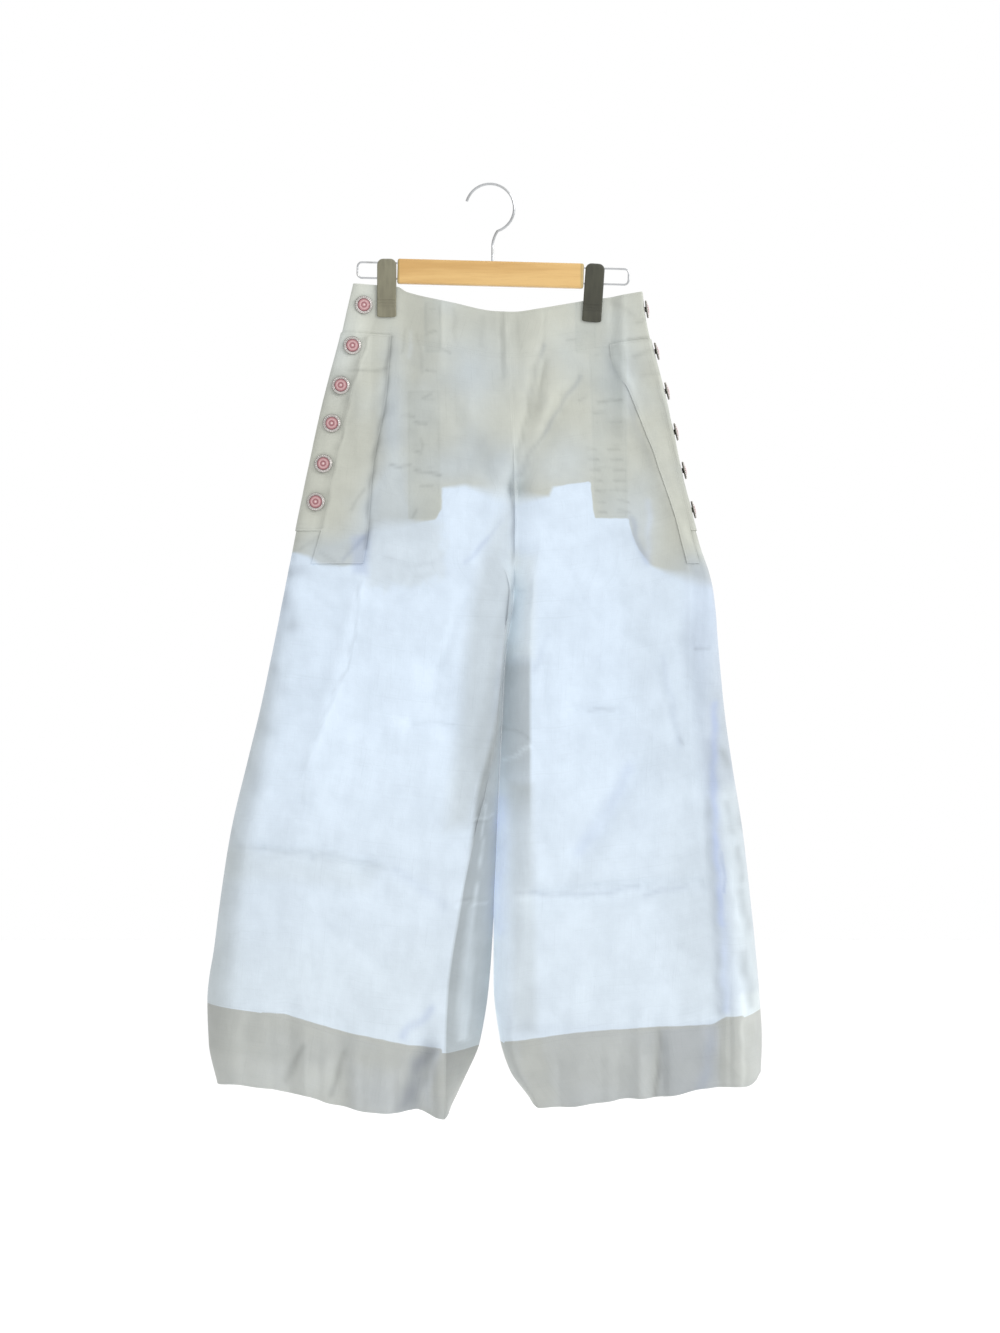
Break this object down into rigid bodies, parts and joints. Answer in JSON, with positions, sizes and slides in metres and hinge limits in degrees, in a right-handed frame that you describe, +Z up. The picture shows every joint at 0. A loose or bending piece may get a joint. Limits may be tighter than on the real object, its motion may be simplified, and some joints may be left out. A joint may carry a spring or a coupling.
{
  "type": "balloon trousers on a clip hanger",
  "caption": "Wide balloon-leg cotton trousers with deep hem bands and buttoned side openings, hung from a wooden clip hanger.",
  "frame": {"origin": "the highest point inside the hanger's hook, where it lies on a rod", "axes": "+Z up, -Y towards the viewer (the front of the trousers), +X to the viewer's right"},
  "size_m": [0.6405, 0.0949, 1.0777],
  "materials": {
    "cotton_waistband": "thin plain-weave cotton, several layers",
    "cotton_panel": "thin plain-weave cotton, pale blue, translucent",
    "cotton_hem": "the same cotton, double",
    "cotton_strip": "the same cotton, folded and stitched",
    "cotton_inside": "the same cotton, inner layers",
    "button": "moulded, ringed, with a beaded metal rim",
    "hanger_wood": "clear lacquer",
    "hanger_wire": "bright plated wire",
    "clip_left": "moulded grey",
    "clip_right": "moulded black"
  },
  "bodies": {
    "root": {"waistband_front": "cotton_waistband", "waistband_back": "cotton_waistband", "front_left": "cotton_panel", "front_right": "cotton_panel", "back_left": "cotton_panel", "back_right": "cotton_panel", "hem_band_left": "cotton_hem", "hem_band_right": "cotton_hem", "button_strip_left": "cotton_strip", "button_strip_right": "cotton_strip", "side_lap_left": "cotton_strip", "side_lap_right": "cotton_strip", "facing_left": "cotton_inside", "facing_right": "cotton_inside", "buttonhole_strip_left": "cotton_inside", "buttonhole_strip_right": "cotton_inside", "pocket_bag_left": "cotton_inside", "pocket_bag_right": "cotton_inside", "button_left_1": "button", "button_left_2": "button", "button_left_3": "button", "button_left_4": "button", "button_left_5": "button", "button_left_6": "button", "button_right_1": "button", "button_right_2": "button", "button_right_3": "button", "button_right_4": "button", "button_right_5": "button", "button_right_6": "button", "hanger_bar": "hanger_wood", "hook": "hanger_wire", "rail_left": "hanger_wire", "rail_right": "hanger_wire", "clip_left": "clip_left", "clip_right": "clip_right"}
  },
  "joints": []
}
